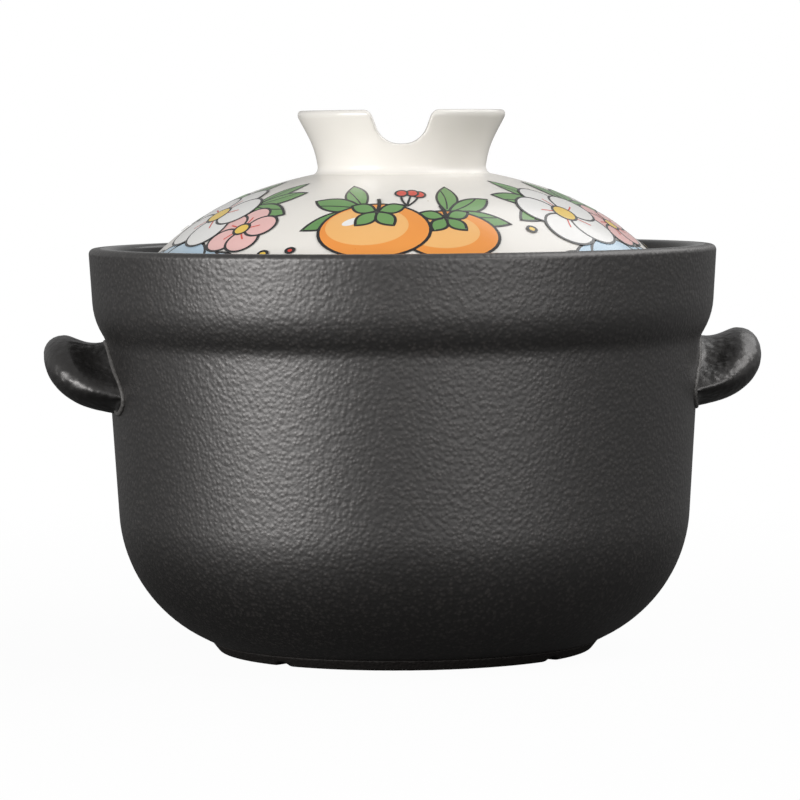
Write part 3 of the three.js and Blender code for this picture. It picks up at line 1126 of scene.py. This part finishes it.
@dataclass
class Painting:
    """Underglaze painting of fruit, blossom and cloud sprays round the dome."""

    lid: Lid
    sprays: int = 6
    ink: float = 1.0 * MM
    fine_ink: float = 0.6 * MM
    stem_ink: float = 1.5 * MM
    berry_ink: float = 0.9 * MM
    first_lift: float = 0.04 * MM
    layer_lift: float = 0.009 * MM
    grid: float = 1.6 * MM
    ring: float = 74 * MM
    leaf_width: float = 0.42
    vein_start: float = 0.12
    vein_bend: float = 0.34
    fruit_squash: float = 0.86
    fruit_spots: tuple[Spot, ...] = (
        Spot(Paint.APRICOT, 0.74, 0.82, -0.14, 0.10),
        Spot(Paint.WHITE, 0.2, 0.5, -0.42, 0.2, 35),
    )
    calyx_rise: float = 0.55
    calyx_leaf: Pair = (0.62, 0.4)
    calyx_turns: tuple[float, ...] = (20, 160, 235, 305)
    stem_bend: float = 0.5
    stem_turn: float = 80
    petals: int = 5
    petal_place: float = 0.55
    petal_size: float = 0.47
    ray_start: float = 0.2
    ray_bend: float = 0.16
    blossom_eye: float = 0.26
    cloud_lobes: tuple[Pair, ...] = (
        (-1.5, 0.62), (1.45, 0.66), (-0.7, 0.85), (0.75, 0.8), (0.0, 1.0))
    lobe_rise: float = 0.4
    lobe_squash: float = 0.82
    curl_drop: float = 0.35
    curl_size: float = 0.45
    curl_squash: float = 0.75
    berry_stems: tuple[Pair, ...] = ((50, 0.6), (90, -0.2), (130, -0.7))
    berry_reach: float = 3.4
    layer: int = 0
    mesh: Mesh = field(default_factory=bmesh.new)

    def shape(self, sketch: Mesh, fill: Paint, place: Matrix, outlined: bool = True) -> None:
        """Adds a flat shape to the painting, one layer above the last.

        Args:
            sketch: One flat face or a strip of faces in the XY plane, which is freed.
            fill: Its colour.
            place: Its place on the unrolled dome: x round the dome, y up towards the knob.
            outlined: Whether it has an ink line round it.
        """
        bmesh.ops.transform(sketch, matrix=place, verts=sketch.verts)
        for face in sketch.faces:
            face.material_index = fill.value
        if outlined:
            rim = bmesh.ops.inset_region(
                sketch, faces=sketch.faces, thickness=self.ink, use_boundary=True,
                use_even_offset=True)
            for face in rim["faces"]:
                face.material_index = Paint.INK.value
        self.cut_to_grid(sketch)
        lift = self.first_lift + self.layer_lift * self.layer
        self.layer += 1
        for vert in sketch.verts:
            vert.co = self.on_dome(vert.co, lift)
        bmesh.ops.triangulate(sketch, faces=sketch.faces)
        data = bpy.data.meshes.new("stroke")
        sketch.to_mesh(data)
        sketch.free()
        self.mesh.from_mesh(data)
        bpy.data.meshes.remove(data)

    def cut_to_grid(self, sketch: Mesh) -> None:
        """Cuts a flat shape into small cells, so that it can follow the dome.

        Args:
            sketch: The flat shape.
        """
        for axis, normal in enumerate((Vector((1, 0, 0)), Vector((0, 1, 0)))):
            values = [vert.co[axis] for vert in sketch.verts]
            first = math.ceil(min(values) / self.grid)
            last = math.floor(max(values) / self.grid)
            for step in range(first, last + 1):
                bmesh.ops.bisect_plane(
                    sketch, geom=sketch.verts[:] + sketch.edges[:] + sketch.faces[:],
                    plane_co=normal * step * self.grid, plane_no=normal)

    def on_dome(self, point: Vector, lift: float) -> Vector:
        """Wraps a point of the unrolled dome onto it.

        Args:
            point: x round the dome at the middle ring, y towards the knob from the ring.
            lift: Height above the surface.

        Returns:
            The place on the dome.
        """
        spot, normal = self.lid.along(self.ring - point.y)
        reference, _ = self.lid.along(self.ring)
        bearing = point.x / reference.x - math.pi / 2 + self.lid.turn
        radius, height = spot + normal * lift
        return Vector((radius * math.cos(bearing), radius * math.sin(bearing), height))

    @staticmethod
    def disc(radius: float, squash: float = 1.0) -> Mesh:
        """Sketches a round or oval face.

        Args:
            radius: Half of its width.
            squash: Its height as a share of its width.

        Returns:
            The face.
        """
        sketch = bmesh.new()
        bmesh.ops.create_circle(sketch, cap_ends=True, segments=DISC_SIDES, radius=radius)
        bmesh.ops.scale(sketch, verts=sketch.verts, vec=(1, squash, 1))
        return sketch

    @classmethod
    def leaf(cls, length: float, width: float) -> Mesh:
        """Sketches a pointed leaf along +X from the origin.

        Args:
            length: Its length.
            width: Its width at the middle.

        Returns:
            The face.
        """
        sketch = cls.disc(1)
        for vert in sketch.verts:
            pointed = abs(vert.co.y) <= NEARLY_ZERO
            bulge = 0 if pointed else math.copysign(1 - vert.co.x**2, vert.co.y)
            vert.co = Vector(((vert.co.x + 1) * length / 2, bulge * width / 2, 0))
        return sketch

    @staticmethod
    def stroke(radius: float, angle: float, width: float) -> Mesh:
        """Sketches a brush stroke along an arc that starts at the origin and heads along +X.

        Args:
            radius: The arc's radius, below zero for a bend to the right.
            angle: How far it bends, in radians, with the radius's sign.
            width: Width of the stroke.

        Returns:
            A strip of faces.
        """
        sketch = bmesh.new()
        ends = [sketch.verts.new((0, side * width / 2, 0)) for side in (-1, 1)]
        edge = sketch.edges.new(ends)
        bmesh.ops.spin(
            sketch, geom=ends + [edge], cent=(0, radius, 0), axis=(0, 0, 1), dvec=(0, 0, 0),
            angle=angle, steps=STROKE_STEPS)
        bmesh.ops.recalc_face_normals(sketch, faces=sketch.faces)
        return sketch

    @staticmethod
    def at(x: float, y: float, turn: float = 0.0) -> Matrix:
        """Place of a shape in millimetres round and up the dome, turned in degrees."""
        turned = Matrix.Rotation(math.radians(turn), 4, "Z")
        return Matrix.Translation((x * MM, y * MM, 0)) @ turned

    def leaves(self, base: Matrix, turns: tuple[float, ...], length: float) -> None:
        """Paints green leaves that fan out from one point.

        Args:
            base: The point they grow from.
            turns: Direction of each leaf in degrees.
            length: Length of a leaf.
        """
        for turn in turns:
            spread = base @ self.at(0, 0, turn)
            self.shape(self.leaf(length, length * self.leaf_width), Paint.GREEN, spread)
            vein = self.stroke(length * 2, self.vein_bend, self.fine_ink)
            start = spread @ self.at(length / MM * self.vein_start, 0)
            self.shape(vein, Paint.INK, start, outlined=False)

    def fruit(self, base: Matrix, radius: float, skin: Paint) -> None:
        """Paints a round fruit with a four-lobed calyx.

        Args:
            base: The fruit's middle.
            radius: Its radius.
            skin: Its colour.
        """
        share = radius / MM
        self.shape(self.disc(radius, self.fruit_squash), skin, base)
        for spot in self.fruit_spots:
            place = base @ self.at(share * spot.x, share * spot.y, spot.turn)
            patch = self.disc(radius * spot.size, spot.squash)
            self.shape(patch, spot.paint, place, outlined=False)
        crown = base @ self.at(0, share * self.calyx_rise)
        length, width = (radius * part for part in self.calyx_leaf)
        for turn in self.calyx_turns:
            self.shape(self.leaf(length, width), Paint.GREEN, crown @ self.at(0, 0, turn))
        stem = self.stroke(radius, self.stem_bend, self.stem_ink)
        self.shape(stem, Paint.INK, crown @ self.at(0, 0, self.stem_turn), outlined=False)

    def blossom(self, base: Matrix, radius: float, petal: Paint) -> None:
        """Paints a blossom with a ray of red on each petal.

        Args:
            base: The blossom's middle.
            radius: Its radius.
            petal: Colour of the petals.
        """
        share = radius / MM
        spokes = [base @ self.at(0, 0, 90 + 360 / self.petals * n) for n in range(self.petals)]
        for spoke in spokes:
            outward = spoke @ self.at(share * self.petal_place, 0)
            self.shape(self.disc(radius * self.petal_size), petal, outward)
        for spoke in spokes:
            ray = self.stroke(radius * 2, self.ray_bend, self.fine_ink)
            start = spoke @ self.at(share * self.ray_start, 0)
            self.shape(ray, Paint.RED, start, outlined=False)
        self.shape(self.disc(radius * self.blossom_eye), Paint.YELLOW, base)

    def cloud(self, base: Matrix, radius: float) -> None:
        """Paints a low bank of rounded clouds.

        Args:
            base: The middle of the bank's foot.
            radius: Radius of its largest lobe.
        """
        for offset, part in self.cloud_lobes:
            size = radius * part
            lobe = base @ self.at(offset * radius / MM, size / MM * self.lobe_rise)
            self.shape(self.disc(size, self.lobe_squash), Paint.BLUE, lobe)
            curl = lobe @ self.at(0, -size / MM * self.curl_drop)
            self.shape(self.disc(size * self.curl_size, self.curl_squash), Paint.WHITE, curl)

    def berries(self, base: Matrix, radius: float) -> None:
        """Paints three red berries on bent stems.

        Args:
            base: Where the stems meet.
            radius: A berry's radius.
        """
        reach = radius * self.berry_reach
        for turn, bend in self.berry_stems:
            stem = base @ self.at(0, 0, turn)
            curve = reach / bend
            self.shape(self.stroke(curve, bend, self.berry_ink), Paint.INK, stem, outlined=False)
            tip = stem @ self.at(
                curve / MM * math.sin(bend), curve / MM * (1 - math.cos(bend)))
            self.shape(self.disc(radius), Paint.RED, tip)

    def fruit_spray(self, x: float, second: Paint) -> None:
        """Paints two fruits among leaves.

        Args:
            x: Place round the dome in millimetres.
            second: Colour of the fruit at the back.
        """
        self.leaves(self.at(x - 14, 6), (120, 165, 215), 24 * MM)
        self.leaves(self.at(x + 16, 3), (75, 25, -20), 23 * MM)
        self.berries(self.at(x + 2, 8, -8), 3.2 * MM)
        self.fruit(self.at(x + 15, -9), 16 * MM, second)
        self.fruit(self.at(x - 9, -6), 18.5 * MM, Paint.ORANGE)
        for offset, rise in ((-33, -18), (34, -24)):
            self.shape(self.disc(1.7 * MM), Paint.RED, self.at(x + offset, rise))

    def blossom_spray(self, x: float) -> None:
        """Paints blossoms above a bank of clouds.

        Args:
            x: Place round the dome in millimetres.
        """
        self.cloud(self.at(x - 2, -29), 13 * MM)
        self.leaves(self.at(x - 10, 8), (110, 160, 205), 25 * MM)
        self.leaves(self.at(x + 8, 8), (70, 30, -15), 23 * MM)
        self.blossom(self.at(x + 17, -7), 13.5 * MM, Paint.PINK)
        self.blossom(self.at(x - 8, 1), 20 * MM, Paint.WHITE)
        for offset, rise in ((-31, -8), (33, -20)):
            self.shape(self.disc(2 * MM), Paint.YELLOW, self.at(x + offset, rise))

    def paint(self) -> None:
        """Paints fruit and blossom in turn round the dome, as a thin skin over it."""
        lap = 2 * math.pi * self.lid.along(self.ring)[0].x / MM
        for index in range(self.sprays):
            self.layer = 0
            x = lap * index / self.sprays
            if index % 2 == 0:
                self.fruit_spray(x, Paint.YELLOW if index else Paint.ORANGE)
            else:
                self.blossom_spray(x)
        painting = to_object(self.mesh, "painting", self.lid.finishes.paints)
        dress(painting, Body.LID, Slot.LID)


@dataclass(frozen=True)
class Lamp:
    """A soft rectangular lamp: its place and its width and height in metres, its power in watts."""

    name: str
    place: Corner
    size: Pair
    power: float


@dataclass
class Studio:
    """Pale floor, soft light and the camera at the photograph's view."""

    azimuth: float = math.radians(-5)
    distance: float = 1.50
    eye_height: float = 0.184
    aim: Pair = (-0.0013, 0.0895)
    lens: float = 188.0
    sensor: float = 36.0
    roll: float = math.radians(-0.45)
    lamps: tuple[Lamp, ...] = (
        Lamp("key", (-1.33, -0.90, 0.33), (1.0, 0.62), 22),
        Lamp("fill", (0.68, -1.50, 0.36), (1.3, 0.68), 8.3),
        Lamp("top", (0.95, -0.35, 1.15), (1.0, 1.0), 10),
        Lamp("back", (0.80, 0.50, 1.0), (1.0, 1.0), 5),
    )
    lamp_aim: Corner = (0, 0, 0.1)
    floor_size: float = 30
    floor_gap: float = 0.05 * MM
    floor_clouds: float = 3.0
    floor_tones: tuple[Colour, Colour] = ((0.80, 0.80, 0.80), (0.84, 0.84, 0.84))
    floor_bounce: Colour = (0.05, 0.05, 0.05)
    floor_roughness: float = 0.9
    floor_specular: float = 0.1
    floor_white: Pair = (0.965, 1.0)
    floor_white_range: Pair = (0.15, 0.6)
    # Share of white seen in reflections, low near the pot as a painted shadow, and the distances
    # over which it rises
    floor_mirrored: Pair = (0.02, 0.13)
    floor_mirrored_range: Pair = (0.12, 0.5)
    surround: Pair = (0.10, 1.0)
    surround_mirrored: float = 0.35

    def camera(self) -> None:
        """Places the camera and makes it the scene's own."""
        data = bpy.data.cameras.new("camera")
        data.lens = self.lens
        data.sensor_width = self.sensor
        camera = bpy.data.objects.new("camera", data)
        bpy.context.scene.collection.objects.link(camera)
        across = Vector((math.cos(self.azimuth), math.sin(self.azimuth), 0))
        eye = Vector((math.sin(self.azimuth), -math.cos(self.azimuth), 0)) * self.distance
        eye.z = self.eye_height
        target = across * self.aim[0] + Vector((0, 0, self.aim[1]))
        look = (target - eye).to_track_quat("-Z", "Y")
        camera.location = eye
        camera.rotation_mode = "QUATERNION"
        camera.rotation_quaternion = look @ Quaternion((0, 0, 1), self.roll)
        bpy.context.scene.camera = camera

    def hang(self, lamp: Lamp) -> None:
        """Hangs a lamp that faces the pot.

        Args:
            lamp: The lamp.
        """
        data = bpy.data.lights.new(lamp.name, "AREA")
        data.shape = "RECTANGLE"
        data.size, data.size_y = lamp.size
        data.energy = lamp.power
        hung = bpy.data.objects.new(lamp.name, data)
        hung.location = lamp.place
        aim = Vector(self.lamp_aim) - Vector(lamp.place)
        hung.rotation_mode = "QUATERNION"
        hung.rotation_quaternion = aim.to_track_quat("-Z", "Y")
        bpy.context.scene.collection.objects.link(hung)

    @staticmethod
    def seen(sheet: NodeSheet, path: Node, mirrored: float | Socket) -> Socket:
        """Share of the white surround that a ray sees.

        Args:
            sheet: The sheet to place the nodes on.
            path: The light path node.
            mirrored: The share that a reflection sees.

        Returns:
            1 for the camera and through glass, and the given share in a reflection.
        """
        camera, through, glossy = (
            path.outputs[f"Is {kind} Ray"] for kind in ("Camera", "Transmission", "Glossy"))
        plain = sheet.math("MAXIMUM", camera, through)
        return sheet.math("MAXIMUM", plain, sheet.math("MULTIPLY", glossy, mirrored))

    def floor(self) -> None:
        """Lays the pale floor, which is darker in reflections and towards the pot; in reflections,
        the darkening near the pot is a painted shadow.
        """
        mesh = bmesh.new()
        bmesh.ops.create_grid(mesh, x_segments=2, y_segments=2, size=self.floor_size)
        bmesh.ops.translate(mesh, verts=mesh.verts, vec=(0, 0, -self.floor_gap))
        made, sheet, shader = new_material("pale_floor")
        path = sheet.add("ShaderNodeLightPath")
        place = sheet.add("ShaderNodeTexCoord").outputs["Object"]
        tone = sheet.add("ShaderNodeTexNoise", Vector=place, Scale=self.floor_clouds)
        shade = sheet.blend(tone.outputs["Fac"], *self.floor_tones)
        sheet.fill(
            shader, Roughness=self.floor_roughness, Specular_IOR_Level=self.floor_specular,
            Base_Color=sheet.blend(path.outputs["Is Camera Ray"], self.floor_bounce, shade))
        away = sheet.add("ShaderNodeVectorMath", {"operation": "LENGTH"}, Vector=place)
        distance = away.outputs["Value"]
        share = sheet.span(distance, self.floor_white, self.floor_white_range)
        # Painted shadow: the white that reflections see fades towards the pot
        mirrored = sheet.span(distance, self.floor_mirrored, self.floor_mirrored_range)
        white = sheet.math("MULTIPLY", self.seen(sheet, path, mirrored), share)
        glow = sheet.add("ShaderNodeEmission", Strength=1.0)
        mixed = sheet.add("ShaderNodeMixShader")
        parts = (white, shader.outputs["BSDF"], glow.outputs["Emission"])
        for socket, part in zip(mixed.inputs, parts):
            sheet.feed(socket, part)
        surface = made.node_tree.nodes["Material Output"]
        sheet.fill(surface, Surface=mixed.outputs["Shader"])
        floor = to_object(mesh, "floor", [made])

    def world(self) -> None:
        """Sets a plain grey surround that the camera sees as white."""
        world = bpy.data.worlds.new("studio")
        bpy.context.scene.world = world
        world.use_nodes = True
        sheet = NodeSheet(world.node_tree)
        seen = self.seen(sheet, sheet.add("ShaderNodeLightPath"), self.surround_mirrored)
        ground = world.node_tree.nodes["Background"]
        sheet.fill(ground, Color=(1, 1, 1), Strength=sheet.span(seen, self.surround))

    def build(self) -> None:
        """Sets up the floor, the surround, the lamps and the camera."""
        self.floor()
        self.world()
        for lamp in self.lamps:
            self.hang(lamp)
        self.camera()
        bpy.context.scene.view_settings.view_transform = "Standard"


def main() -> None:
    """Builds the studio, then each piece of the pot and its lid."""
    logging.basicConfig(level=logging.INFO, format="%(name)s %(message)s")
    Studio().build()
    finishes = Finishes()
    pot = Pot(finishes)
    bowl = pot.bowl()
    pot.foot()
    for name, side in (("right", 1), ("left", -1)):
        handle = Handle(name, side, pot)
        handle.lug()
        handle.slip(bowl)
    lid = Lid(finishes)
    lid.dome()
    lid.knob()
    Painting(lid).paint()


if __name__ == "__main__":
    main()
